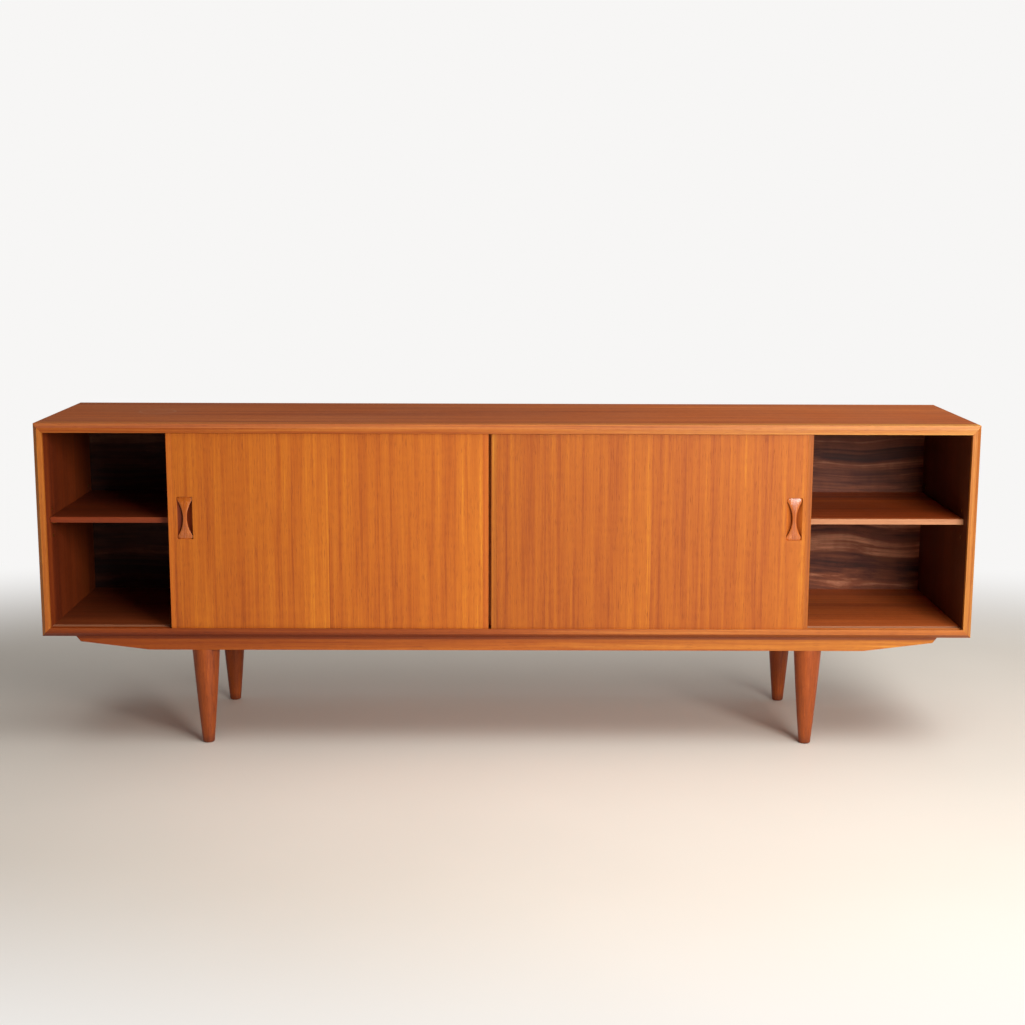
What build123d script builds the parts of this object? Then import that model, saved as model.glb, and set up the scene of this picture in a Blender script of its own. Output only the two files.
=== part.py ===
from build123d import *
import os

# A long teak sideboard: a mitred case on a low plinth frame and four turned legs, with three sliding doors.
# Millimetres. The origin is on the floor, midway between the case's ends and between its front and back.
# +X points to the right as one faces the doors, -Y is the front and +Z is up.

# ---- driving dimensions ----

# the case
case_width = 2300.0
case_depth = 470.0
case_height = 530.0
board = 22.0  # thickness of the top, bottom and side boards
bevel = 10.0  # bevel round the outer edge of the front frame
side_lipping_depth = 12.0

# the back
rebate_depth = 10.0  # how far the back panel's front face lies from the boards' rear edges
rebate_width = 8.0
back_thickness = 6.0
back_clearance = 0.5

# the two door tracks, cut in the front rails
track_lip = 6.0  # wood in front of the front groove
groove_width = 14.0
track_ridge = 4.0  # wood between the two grooves
rail_back_wood = 1.0  # wood behind the rear groove
lower_groove_depth = 6.0
upper_hold = 6.5  # how far a standing door reaches up into its upper groove
lift_spare = 1.5  # spare room above a door that is lifted clear of its lower groove

# the doors
door_overlap = 46.5  # a closed front door over the closed centre door
door_side_clearance = 0.5  # between a door's face and its groove's wall
door_bottom_clearance = 0.3
door_lipping = 13.0
middle_gap = 7.0  # between the two front doors as they stand
middle_gap_x = -43.0  # where that gap lies

# the pulls
pull_width = 38.0
pull_height = 105.0
pull_back_wood = 3.5  # wood of the door left behind a pull
pull_inset = 41.0  # from a door's outer edge to the pull's centre
pull_above_middle = 33.0  # from the middle of the opening's height to the pull's centre
pull_floor = 2.0
bow_end_width = 36.0
bow_waist_width = 8.0
bow_proud = 1.5  # how far the middle of the bow stands in front of the door's face
bow_rise = 5.0  # how far its middle stands in front of its two ends

# the inside
divider_core = 2.0  # wood left in a divider between two sockets back to back
inside_setback = 1.5  # from the rear of the rails to the dividers and shelves
shelf_thickness = 13.5
shelf_height = 258.0  # from the bottom board's top face to a shelf's underside
shelf_end_clearance = 1.5
shelf_back_gap = 6.0
shelf_lipping_depth = 6.0
pin_diameter = 6.0
pin_reach = 9.0
socket_diameter = 8.0
socket_depth = 9.0
socket_pitch = 33.0
socket_inset = 26.0  # from a shelf's front and back edge to its pins

# joints inside the case
spline_thickness = 3.0
spline_width = 14.0
dowel_diameter = 8.0
dowel_length = 28.0
dowels_per_joint = 3

# the plinth frame
plinth_height = 35.0
plinth_setback = 12.0
apron_thickness = 20.0
apron_end_inset = 82.0  # from the case's end to the apron's upper corner
apron_end_lean = 11.0
apron_tip_height = 14.0
apron_taper_length = 171.0
cross_rail_width = 100.0

# the legs
leg_length = 247.0
leg_top_diameter = 69.0
leg_foot_diameter = 29.0
leg_swell = 0.8  # how far the leg's side bows outwards, halfway up
foot_round = 3.5
front_leg_end_inset = 397.0  # from the case's end to the leg's axis
rear_leg_end_inset = 404.0
bolt_diameter = 8.0
bolt_in_leg = 25.0
insert_diameter = 12.0
insert_length = 25.0

# the screws
back_screw_diameter = 3.0
back_screw_length = 14.0
back_screw_head = 6.0
back_screws_along = 8
back_screws_up = 3
plinth_screw_diameter = 4.5
plinth_screw_bite = 13.0  # how far a screw reaches into the bottom board
plinth_screw_head = 9.0
plinth_screw_inset = 30.0  # from a cross rail's long edges
plinth_screw_end_inset = 90.0  # from its ends

# ---- places worked out from them ----

half_width = case_width / 2
inner_half = half_width - board
front = -case_depth / 2
back = case_depth / 2
floor_of_case = leg_length + plinth_height
top_of_case = floor_of_case + case_height
bay_floor = floor_of_case + board
bay_ceiling = top_of_case - board
back_face = back - rebate_depth
plinth_bottom = leg_length

front_track_y = front + track_lip
rear_track_y = front_track_y + groove_width + track_ridge
rail_depth = track_lip + 2 * groove_width + track_ridge + rail_back_wood
upper_groove_depth = upper_hold + lower_groove_depth + lift_spare
bay_front = front + rail_depth + inside_setback

door_width = (2 * inner_half + 2 * door_overlap) / 3
door_thickness = groove_width - 2 * door_side_clearance
door_bottom = bay_floor - lower_groove_depth + door_bottom_clearance
door_top = bay_ceiling + upper_hold
pull_depth = door_thickness - pull_back_wood
pull_z = (bay_floor + bay_ceiling) / 2 + pull_above_middle

divider_thickness = 2 * socket_depth + divider_core
divider_x = inner_half - door_width + door_overlap / 2  # behind the middle of the doors' overlap
shelf_under = bay_floor + shelf_height
shelf_back = back_face - shelf_back_gap
pin_z = shelf_under - pin_diameter / 2
pin_rows_y = [bay_front + socket_inset, shelf_back - socket_inset]

front_leg_x = half_width - front_leg_end_inset
rear_leg_x = half_width - rear_leg_end_inset
leg_inset = plinth_setback + leg_top_diameter / 2  # the leg's top is flush with the apron
plinth_screw_length = plinth_height + plinth_screw_bite


# ---- shapes that repeat ----


def block(x0, x1, y0, y1, z0, z1):
    """A box between two corners."""
    middle = Pos((x0 + x1) / 2, (y0 + y1) / 2, (z0 + z1) / 2)
    return middle * Box(x1 - x0, y1 - y0, z1 - z0)


def xz_prism(points, y0, y1):
    """An outline seen from the front, given depth."""
    outline = Polyline(*[(x, y0, z) for x, z in points], close=True)
    return extrude(make_face(outline), amount=y1 - y0, dir=(0, 1, 0))


def yz_prism(points, x0, x1):
    """An outline seen from the side, given length."""
    outline = Polyline(*[(x0, y, z) for y, z in points], close=True)
    return extrude(make_face(outline), amount=x1 - x0, dir=(1, 0, 0))


def xy_prism(points, z0, z1):
    """An outline seen from above, given height."""
    outline = Polyline(*[(x, y, z0) for x, y in points], close=True)
    return extrude(make_face(outline), amount=z1 - z0, dir=(0, 0, 1))


def rod(diameter, start, end):
    """A round rod from one point to another."""
    along = Vector(*end) - Vector(*start)
    base = Plane(origin=start, z_dir=along)
    return extrude(base * Circle(diameter / 2), amount=along.length)


def screw(diameter, length, head, tip, outward):
    """A countersunk screw: its head's flat face is a length from its tip, along outward."""
    base = Plane(origin=tip, z_dir=outward)
    sink = (head - diameter) / 2
    shank = extrude(base * Circle(diameter / 2), amount=length - sink)
    cone = base * Pos(0, 0, length - sink / 2) * Cone(diameter / 2, head / 2, sink)
    return shank + cone


nodes = {}


def keep(name, shape):
    nodes[name] = shape


def cut_for(name, *tools):
    """Makes room in a piece for what is set into it."""
    for tool in tools:
        nodes[name] = nodes[name] - tool


# ---- the case: four boards mitred at the corners, each with a solid front edge ----


def mitred_outline(side):
    """The long face of one board of the case, seen from the front, with its mitred ends."""
    outer = {
        "top": [(-half_width, top_of_case), (half_width, top_of_case)],
        "bottom": [(half_width, floor_of_case), (-half_width, floor_of_case)],
        "left": [(-half_width, floor_of_case), (-half_width, top_of_case)],
        "right": [(half_width, top_of_case), (half_width, floor_of_case)],
    }[side]
    inner = []
    for x, z in outer:
        inner_x = x - board if x > 0 else x + board
        inner_z = z - board if z == top_of_case else z + board
        inner.append((inner_x, inner_z))
    return outer + inner[::-1]


def front_edge(side, depth):
    """A solid edge as deep as asked, bevelled on its outer corner and mitred at both ends."""
    upright = side in ("left", "right")
    outer = {"top": top_of_case, "bottom": floor_of_case, "left": -half_width, "right": half_width}[side]
    inward = -1 if side in ("top", "right") else 1
    inner = outer + inward * board
    profile = [
        (inner, front),
        (outer + inward * bevel, front),
        (outer, front + bevel),
        (outer, front + depth),
        (inner, front + depth),
    ]
    if upright:
        strip = xy_prism(profile, floor_of_case, top_of_case)
    else:
        strip = yz_prism([(y, z) for z, y in profile], -half_width, half_width)
    return strip & xz_prism(mitred_outline(side), front, front + depth)


rebate = block(
    -inner_half - rebate_width,
    inner_half + rebate_width,
    back_face,
    back,
    bay_floor - rebate_width,
    bay_ceiling + rebate_width,
)
panel_names = {"top": "top_panel", "bottom": "bottom_panel", "left": "left_side", "right": "right_side"}
edge_names = {"top": "top_rail", "bottom": "bottom_rail", "left": "left_lipping", "right": "right_lipping"}
for side, name in panel_names.items():
    edge_depth = rail_depth if side in ("top", "bottom") else side_lipping_depth
    keep(name, xz_prism(mitred_outline(side), front + edge_depth, back) - rebate)
    keep(edge_names[side], front_edge(side, edge_depth))

for track_y in (front_track_y, rear_track_y):
    groove = (-inner_half, inner_half, track_y, track_y + groove_width)
    cut_for("bottom_rail", block(*groove, bay_floor - lower_groove_depth, bay_floor))
    cut_for("top_rail", block(*groove, bay_ceiling, bay_ceiling + upper_groove_depth))

# loose tongues across the four mitres
spline_front = front + rail_depth + spline_width
spline_back = back_face - spline_width
splines = []
for end in (-1, 1):
    for z, tilt in ((floor_of_case + board / 2, -1), (top_of_case - board / 2, 1)):
        turn = Rot(0, 45 * end * tilt, 0)
        plate = Box(spline_thickness, spline_back - spline_front, spline_width)
        place = Pos(end * (half_width - board / 2), (spline_front + spline_back) / 2, z)
        splines.append(place * turn * plate)
for name in panel_names.values():
    cut_for(name, *splines)
keep("mitre_splines", Compound(splines))

# ---- the back, screwed into its rebate ----

keep(
    "back_panel",
    block(
        -inner_half - rebate_width + back_clearance,
        inner_half + rebate_width - back_clearance,
        back_face,
        back_face + back_thickness,
        bay_floor - rebate_width + back_clearance,
        bay_ceiling + rebate_width - back_clearance,
    ),
)
ledge = rebate_width / 2
screw_tip_y = back_face + back_thickness - back_screw_length
screw_places = []
for i in range(back_screws_along):
    x = (i + 0.5) * 2 * inner_half / back_screws_along - inner_half
    screw_places += [(x, bay_floor - ledge), (x, bay_ceiling + ledge)]
for i in range(back_screws_up):
    z = bay_floor + (i + 0.5) * (bay_ceiling - bay_floor) / back_screws_up
    screw_places += [(-inner_half - ledge, z), (inner_half + ledge, z)]
back_screws = [
    screw(back_screw_diameter, back_screw_length, back_screw_head, (x, screw_tip_y, z), (0, 1, 0))
    for x, z in screw_places
]
for name in ["back_panel", *panel_names.values()]:
    cut_for(name, *back_screws)
keep("back_panel_screws", Compound(back_screws))

# ---- the dividers, dowelled between the bottom and the top ----

dowels = []
for name, x in (("left_divider", -divider_x), ("right_divider", divider_x)):
    half = divider_thickness / 2
    keep(name, block(x - half, x + half, bay_front, back_face, bay_floor, bay_ceiling))
    step = (back_face - bay_front) / dowels_per_joint
    for i in range(dowels_per_joint):
        y = bay_front + (i + 0.5) * step
        for z in (bay_floor, bay_ceiling):
            dowels.append(rod(dowel_diameter, (x, y, z - dowel_length / 2), (x, y, z + dowel_length / 2)))
for name in ("left_divider", "right_divider", "top_panel", "bottom_panel"):
    cut_for(name, *dowels)
keep("divider_dowels", Compound(dowels))

# ---- a loose shelf in each bay, on four pins that plug into sockets at three heights ----

bays = {
    "left": (-inner_half, -divider_x - divider_thickness / 2),
    "centre": (-divider_x + divider_thickness / 2, divider_x - divider_thickness / 2),
    "right": (divider_x + divider_thickness / 2, inner_half),
}
bay_walls = {
    "left": ("left_side", "left_divider"),
    "centre": ("left_divider", "right_divider"),
    "right": ("right_divider", "right_side"),
}
sockets = []
for bay, (x0, x1) in bays.items():
    shelf_x0 = x0 + shelf_end_clearance
    shelf_x1 = x1 - shelf_end_clearance
    shelf_top = shelf_under + shelf_thickness
    lipping_back = bay_front + shelf_lipping_depth
    keep(f"{bay}_shelf", block(shelf_x0, shelf_x1, lipping_back, shelf_back, shelf_under, shelf_top))
    keep(f"{bay}_shelf_lipping", block(shelf_x0, shelf_x1, bay_front, lipping_back, shelf_under, shelf_top))
    pins = []
    for wall_x, inward in ((x0, 1), (x1, -1)):
        for y in pin_rows_y:
            pin_end = wall_x + inward * (shelf_end_clearance + pin_reach)
            pins.append(rod(pin_diameter, (wall_x - inward * socket_depth, y, pin_z), (pin_end, y, pin_z)))
            for step in (-1, 0, 1):
                z = pin_z + step * socket_pitch
                mouth = (wall_x, y, z)
                bottom = (wall_x - inward * socket_depth, y, z)
                drilling = rod(socket_diameter, bottom, mouth)
                sockets.append(drilling - rod(pin_diameter, bottom, mouth))
                wall = bay_walls[bay][0] if inward == 1 else bay_walls[bay][1]
                cut_for(wall, drilling)
    keep(f"{bay}_shelf_pins", Compound(pins))
keep("shelf_pin_sockets", Compound(sockets))

# ---- the doors: a panel between two solid edges, with a carved pull let into its face ----


def bow_tie_pull(x, face_y, z):
    """A floor that closes the pocket, and on it a bow that narrows to its waist and arches forward."""
    floor_y = face_y + pull_depth
    half_h = pull_height / 2
    half_w = pull_width / 2
    base = block(x - half_w, x + half_w, floor_y - pull_floor, floor_y, z - half_h, z + half_h)
    end = bow_end_width / 2
    waist = bow_waist_width / 2
    start_y = face_y - bow_proud
    corners = [(x - end, start_y, z + half_h), (x + end, start_y, z + half_h)]
    corners += [(x + end, start_y, z - half_h), (x - end, start_y, z - half_h)]
    outline = [
        Line(corners[0], corners[1]),
        ThreePointArc(corners[1], (x + waist, start_y, z), corners[2]),
        Line(corners[2], corners[3]),
        ThreePointArc(corners[3], (x - waist, start_y, z), corners[0]),
    ]
    bow = extrude(make_face(outline), amount=floor_y - start_y, dir=(0, 1, 0))
    arch_radius = (half_h**2 + bow_rise**2) / (2 * bow_rise)
    arch = Pos(x, start_y + arch_radius, z) * Rot(0, 90, 0) * Cylinder(arch_radius, pull_width)
    return base + (bow & arch)


def sliding_door(name, x0, face_y, pull_x):
    """One door whose left edge is at x0. Its face is at face_y, and its pull is centred on pull_x."""
    rear_y = face_y + door_thickness
    x1 = x0 + door_width
    panel = block(x0 + door_lipping, x1 - door_lipping, face_y, rear_y, door_bottom, door_top)
    pocket_x0 = pull_x - pull_width / 2
    pocket_z0 = pull_z - pull_height / 2
    pocket = block(
        pocket_x0,
        pocket_x0 + pull_width,
        face_y - bow_proud,
        face_y + pull_depth,
        pocket_z0,
        pocket_z0 + pull_height,
    )
    keep(f"{name}_panel", panel - pocket)
    keep(f"{name}_left_edge", block(x0, x0 + door_lipping, face_y, rear_y, door_bottom, door_top))
    keep(f"{name}_right_edge", block(x1 - door_lipping, x1, face_y, rear_y, door_bottom, door_top))
    keep(f"{name}_pull", bow_tie_pull(pull_x, face_y, pull_z))


front_face_y = front_track_y + door_side_clearance
rear_face_y = rear_track_y + door_side_clearance
left_door_x = middle_gap_x - middle_gap / 2 - door_width
right_door_x = middle_gap_x + middle_gap / 2
centre_door_x = -door_width / 2
sliding_door("left_door", left_door_x, front_face_y, left_door_x + pull_inset)
sliding_door("right_door", right_door_x, front_face_y, right_door_x + door_width - pull_inset)
sliding_door("centre_door", centre_door_x, rear_face_y, centre_door_x + door_width - pull_inset)

# ---- the plinth frame: two aprons with tapered ends, and two cross rails that take the legs ----

corner_x = half_width - apron_end_inset
tip_x = corner_x - apron_end_lean
flat_x = tip_x - apron_taper_length
apron_outline = [
    (-corner_x, floor_of_case),
    (-tip_x, floor_of_case - apron_tip_height),
    (-flat_x, plinth_bottom),
    (flat_x, plinth_bottom),
    (tip_x, floor_of_case - apron_tip_height),
    (corner_x, floor_of_case),
]
apron_front = front + plinth_setback
apron_back = back - plinth_setback
keep("front_apron", xz_prism(apron_outline, apron_front, apron_front + apron_thickness))
keep("rear_apron", xz_prism(apron_outline, apron_back - apron_thickness, apron_back))

rail_front = apron_front + apron_thickness
rail_back = apron_back - apron_thickness
plinth_screws = []
for name, end in (("left_cross_rail", -1), ("right_cross_rail", 1)):
    rail_x = end * (front_leg_x + rear_leg_x) / 2
    half = cross_rail_width / 2
    keep(name, block(rail_x - half, rail_x + half, rail_front, rail_back, plinth_bottom, floor_of_case))
    for x in (rail_x - half + plinth_screw_inset, rail_x + half - plinth_screw_inset):
        for y in (rail_front + plinth_screw_end_inset, rail_back - plinth_screw_end_inset):
            tip = (x, y, plinth_bottom + plinth_screw_length)
            size = (plinth_screw_diameter, plinth_screw_length, plinth_screw_head)
            plinth_screws.append(screw(*size, tip, (0, 0, -1)))
for name in ("left_cross_rail", "right_cross_rail", "bottom_panel"):
    cut_for(name, *plinth_screws)
keep("plinth_screws", Compound(plinth_screws))

# ---- the legs: turned tapers, each on a bolt that screws into an insert in the plinth frame ----

foot_r = leg_foot_diameter / 2
top_r = leg_top_diameter / 2
foot_corner = foot_round * (1 - 0.5**0.5)  # how far the middle of a quarter round lies from its two flats
flat_edge = (foot_r - foot_round, 0, 0)
round_middle = (foot_r - foot_corner, 0, foot_corner)
round_top = (foot_r, 0, foot_round)
side_middle = ((foot_r + top_r) / 2 + leg_swell, 0, (leg_length + foot_round) / 2)
top_edge = (top_r, 0, leg_length)
leg_profile = [
    Line((0, 0, 0), flat_edge),
    ThreePointArc(flat_edge, round_middle, round_top),
    ThreePointArc(round_top, side_middle, top_edge),
    Line(top_edge, (0, 0, leg_length)),
    Line((0, 0, leg_length), (0, 0, 0)),
]
turned_leg = revolve(make_face(leg_profile), axis=Axis.Z)

bolts = []
inserts = []
leg_places = {
    "front_left_leg": (-front_leg_x, front + leg_inset),
    "front_right_leg": (front_leg_x, front + leg_inset),
    "rear_left_leg": (-rear_leg_x, back - leg_inset),
    "rear_right_leg": (rear_leg_x, back - leg_inset),
}
for name, (x, y) in leg_places.items():
    bolt = rod(bolt_diameter, (x, y, leg_length - bolt_in_leg), (x, y, leg_length + insert_length))
    sleeve = rod(insert_diameter, (x, y, leg_length), (x, y, leg_length + insert_length))
    keep(name, Pos(x, y, 0) * turned_leg - bolt)
    bolts.append(bolt)
    inserts.append(sleeve - bolt)
    cut_for("left_cross_rail" if x < 0 else "right_cross_rail", sleeve)
keep("leg_bolts", Compound(bolts))
keep("leg_inserts", Compound(inserts))

# ---- one file for each piece ----

os.makedirs("parts", exist_ok=True)
for name, shape in nodes.items():
    export_step(shape, f"parts/{name}.step")
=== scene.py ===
import math

import bpy
from mathutils import Matrix, Vector


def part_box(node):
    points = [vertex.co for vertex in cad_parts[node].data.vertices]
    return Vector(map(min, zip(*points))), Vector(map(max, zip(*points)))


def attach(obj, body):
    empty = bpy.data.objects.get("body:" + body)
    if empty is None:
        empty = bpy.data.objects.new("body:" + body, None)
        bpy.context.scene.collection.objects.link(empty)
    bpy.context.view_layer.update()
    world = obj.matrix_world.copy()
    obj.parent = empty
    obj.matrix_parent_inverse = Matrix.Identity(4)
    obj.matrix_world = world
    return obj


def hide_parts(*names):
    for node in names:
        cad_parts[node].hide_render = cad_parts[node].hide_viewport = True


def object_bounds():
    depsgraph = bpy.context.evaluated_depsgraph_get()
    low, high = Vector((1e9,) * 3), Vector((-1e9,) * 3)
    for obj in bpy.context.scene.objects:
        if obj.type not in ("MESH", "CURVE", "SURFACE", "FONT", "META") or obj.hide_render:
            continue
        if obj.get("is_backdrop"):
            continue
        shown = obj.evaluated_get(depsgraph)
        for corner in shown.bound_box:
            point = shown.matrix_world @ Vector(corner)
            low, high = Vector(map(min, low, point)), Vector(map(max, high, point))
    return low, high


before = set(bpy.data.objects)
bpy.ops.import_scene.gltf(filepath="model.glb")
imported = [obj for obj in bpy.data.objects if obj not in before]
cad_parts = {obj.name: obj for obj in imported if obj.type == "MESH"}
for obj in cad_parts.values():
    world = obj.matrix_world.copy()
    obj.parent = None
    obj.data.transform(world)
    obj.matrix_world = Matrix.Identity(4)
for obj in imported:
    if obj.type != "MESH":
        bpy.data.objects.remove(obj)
cad_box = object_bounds()

# ---- the four boards of the case ----
# Blockboard faced with teak veneer, plainer on the inside: top, bottom and two sides, mitred where they
# meet. The veneer runs the long way of each board, so that it turns each corner. Sandpaper has eased the
# edges.

board_arris = 0.0007
board_grain = {"top_panel": "X", "bottom_panel": "X", "left_side": "Z", "right_side": "Z"}
weld_distance = 1e-5
flat_angle = math.radians(1)  # faces closer to one plane than this become one face
sharp_angle = math.radians(25)
arris_segments = 3

# sizes of the wood's figure, across and along the grain, in metres
band_length = 1.9
streaks_per_band = 6
streak_length = 0.75
line_size = (0.0028, 0.22)
pore_size = (0.0009, 0.026)
ripple_size = (0.045, 0.02)
bends_across = 2.2  # bends of the grain in each metre
bends_along = 1.6
ripple_strength = 0.12
# the part of each noise that goes from all dark to all light
band_contrast = (0.3, 0.7)
line_contrast = (0.28, 0.72)
pore_contrast = (0.6, 0.72)
pore_roughness = 0.15
line_roughness = 0.1
line_height = 0.4  # as a share of the pores' depth
pore_depth = 0.0004
bump_strength = 0.22


def pick(piece):
    """Makes a piece the only one selected, and the active one."""
    bpy.ops.object.select_all(action="DESELECT")
    piece.select_set(True)
    bpy.context.view_layer.objects.active = piece


def round_edges(piece, arris):
    """Rounds off a piece's sharp edges."""
    pick(piece)
    bpy.ops.object.shade_smooth()
    rounding = piece.modifiers.new("arris", "BEVEL")
    rounding.width = arris
    rounding.segments = arris_segments
    rounding.limit_method = "ANGLE"
    rounding.angle_limit = sharp_angle
    rounding.harden_normals = True
    bpy.ops.object.modifier_apply(modifier=rounding.name)


def eased(node, name, arris):
    """A new piece with a node's own shape, its sharp edges rounded off by the arris."""
    piece = bpy.data.objects.new(name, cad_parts[node].data.copy())
    bpy.context.scene.collection.objects.link(piece)
    piece.data.materials.clear()
    pick(piece)
    bpy.ops.mesh.customdata_custom_splitnormals_clear()
    bpy.ops.object.mode_set(mode="EDIT")
    bpy.ops.mesh.select_all(action="SELECT")
    bpy.ops.mesh.remove_doubles(threshold=weld_distance)
    bpy.ops.mesh.dissolve_limited(angle_limit=flat_angle)
    bpy.ops.object.mode_set(mode="OBJECT")
    round_edges(piece, arris)
    return piece


def shade(red, green, blue):
    """A colour from its display values, 0 to 255."""
    linear = [((c / 255 + 0.055) / 1.055) ** 2.4 if c > 10 else c / 255 / 12.92 for c in (red, green, blue)]
    return (*linear, 1)


def add_node(tree, kind, inputs=None, **settings):
    """Adds a shader node with its settings, and with values or links for its inputs."""
    made = tree.nodes.new(kind)
    for key, value in settings.items():
        setattr(made, key, value)
    for key, value in (inputs or {}).items():
        if isinstance(value, bpy.types.NodeSocket):
            tree.links.new(value, made.inputs[key])
        else:
            made.inputs[key].default_value = value
    return made


def maths(tree, operation, first, second=0.0):
    """One sum, as a socket."""
    return add_node(tree, "ShaderNodeMath", {0: first, 1: second}, operation=operation).outputs[0]


def vector_maths(tree, operation, first, second):
    """One sum with vectors, as a socket."""
    return add_node(tree, "ShaderNodeVectorMath", {0: first, 1: second}, operation=operation).outputs[0]


def spread(tree, value, low, high):
    """Stretches a value so that low becomes 0 and high becomes 1."""
    inputs = {"Value": value, "From Min": low, "From Max": high}
    return add_node(tree, "ShaderNodeMapRange", inputs).outputs["Result"]


def blend(tree, amount, first, second, blend_type="MIX"):
    """Mixes two colours by an amount."""
    inputs = {"Factor": amount, 6: first, 7: second}
    return add_node(tree, "ShaderNodeMix", inputs, data_type="RGBA", blend_type=blend_type).outputs[2]


def ramp(tree, value, stops):
    """Turns a value into a colour through a row of evenly spaced shades."""
    made = add_node(tree, "ShaderNodeValToRGB", {"Fac": value})
    while len(made.color_ramp.elements) < len(stops):
        made.color_ramp.elements.new(1.0)
    for i, (stop, colour) in enumerate(zip(made.color_ramp.elements, stops)):
        stop.position = i / (len(stops) - 1)
        stop.color = colour
    return made.outputs["Color"]


def stretched_noise(tree, place, grain, across, along, offset, detail=2.0):
    """Noise drawn out along the grain: across and along are the sizes of its patches."""
    scale = [1 / across] * 3
    scale["XYZ".index(grain)] = 1 / along
    inputs = {"Vector": place, "Location": (offset, offset * 0.7, offset * 1.3), "Scale": scale}
    mapped = add_node(tree, "ShaderNodeMapping", inputs).outputs["Vector"]
    inputs = {"Vector": mapped, "Scale": 1.0, "Detail": detail, "Roughness": 0.55}
    return add_node(tree, "ShaderNodeTexNoise", inputs).outputs["Fac"]


def wood(
    name,
    grain,
    shades,
    seed,
    place=None,
    wander=0.006,
    band=0.085,
    figure=(0.42, 0.36, 0.22),
    pore=0.35,
    gloss=0.45,
    shine=0.4,
    change=None,
):
    """Oiled wood with straight grain. It has broad bands, streaks and fine lines, as strong as figure says,
    and short open pores, and it wanders from side to side. The broad bands are as wide as band, pore is how
    dark the pores are, gloss its roughness, and change(tree, place, colour) may alter the colour."""
    material = bpy.data.materials.new(name)
    material.use_nodes = True
    tree = material.node_tree
    shader = tree.nodes["Principled BSDF"]
    place = place(tree) if place else add_node(tree, "ShaderNodeTexCoord").outputs["Object"]
    sideways = [wander * 2] * 3
    sideways["XYZ".index(grain)] = 0.0
    bend = [bends_across] * 3
    bend["XYZ".index(grain)] = bends_along
    inputs = {"Vector": place, "Location": (seed, seed * 0.3, seed * 0.6), "Scale": bend}
    mapped = add_node(tree, "ShaderNodeMapping", inputs).outputs["Vector"]
    inputs = {"Vector": mapped, "Scale": 1.0, "Detail": 2.0}
    drift = add_node(tree, "ShaderNodeTexNoise", inputs).outputs["Color"]
    centred = vector_maths(tree, "SUBTRACT", drift, (0.5, 0.5, 0.5))
    wavy = vector_maths(tree, "ADD", place, vector_maths(tree, "MULTIPLY", centred, sideways))

    bands = stretched_noise(tree, wavy, grain, band, band_length, seed + 1)
    bands = spread(tree, bands, *band_contrast)
    streaks = stretched_noise(tree, wavy, grain, band / streaks_per_band, streak_length, seed + 2, 3.0)
    streaks = spread(tree, streaks, *line_contrast)
    lines = spread(tree, stretched_noise(tree, wavy, grain, *line_size, seed + 3), *line_contrast)
    pores = spread(tree, stretched_noise(tree, wavy, grain, *pore_size, seed + 4, 1.0), *pore_contrast)
    ripple = stretched_noise(tree, place, grain, *ripple_size, seed + 5, 1.0)

    tone = maths(tree, "MULTIPLY", maths(tree, "SUBTRACT", ripple, 0.5), ripple_strength)
    for layer, strength in zip((bands, streaks, lines), figure):
        tone = maths(tree, "ADD", tone, maths(tree, "MULTIPLY", layer, strength))
    colour = ramp(tree, tone, shades)
    colour = blend(tree, maths(tree, "MULTIPLY", pores, pore), colour, shades[0], "MULTIPLY")
    if change:
        colour = change(tree, place, colour)
    tree.links.new(colour, shader.inputs["Base Color"])

    rough = maths(tree, "ADD", maths(tree, "MULTIPLY", lines, line_roughness), gloss)
    rough = maths(tree, "ADD", rough, maths(tree, "MULTIPLY", pores, pore_roughness))
    tree.links.new(rough, shader.inputs["Roughness"])
    shader.inputs["Specular IOR Level"].default_value = shine
    height = maths(tree, "SUBTRACT", maths(tree, "MULTIPLY", lines, line_height), pores)
    inputs = {"Height": height, "Strength": bump_strength, "Distance": pore_depth}
    bump = add_node(tree, "ShaderNodeBump", inputs)
    tree.links.new(bump.outputs["Normal"], shader.inputs["Normal"])
    return material


case_shades = [shade(106, 37, 10), shade(156, 74, 25), shade(184, 94, 35), shade(220, 128, 58)]
inner_shades = [shade(84, 25, 4), shade(120, 46, 10), shade(143, 59, 15), shade(172, 86, 26)]
# The right side's inside is painted darker, as painted shade, and the bottom's inside is painted lighter, as
# painted light in the bays.
inner_shades_in_painted_shade = [shade(60, 20, 4), shade(84, 36, 9), shade(100, 45, 13), shade(122, 64, 22)]
floor_shades_in_painted_light = [shade(118, 43, 11), shade(164, 76, 26), shade(190, 94, 35), shade(216, 126, 54)]
inner_faces = {
    "top_panel": ((0, 0, -1), inner_shades),
    "bottom_panel": ((0, 0, 1), floor_shades_in_painted_light),
    "left_side": ((1, 0, 0), inner_shades),
    "right_side": ((-1, 0, 0), inner_shades_in_painted_shade),
}
ring_centre = (-0.90, 0.03)
ring_radius = 0.045
ring_width = 0.004
ring_strength = 0.22
patch_strength = 0.25


def distance(tree, one, other):
    """The length of a line that runs this far one way and that far the other."""
    squares = maths(tree, "ADD", maths(tree, "POWER", one, 2), maths(tree, "POWER", other, 2))
    return maths(tree, "SQRT", squares)


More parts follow.
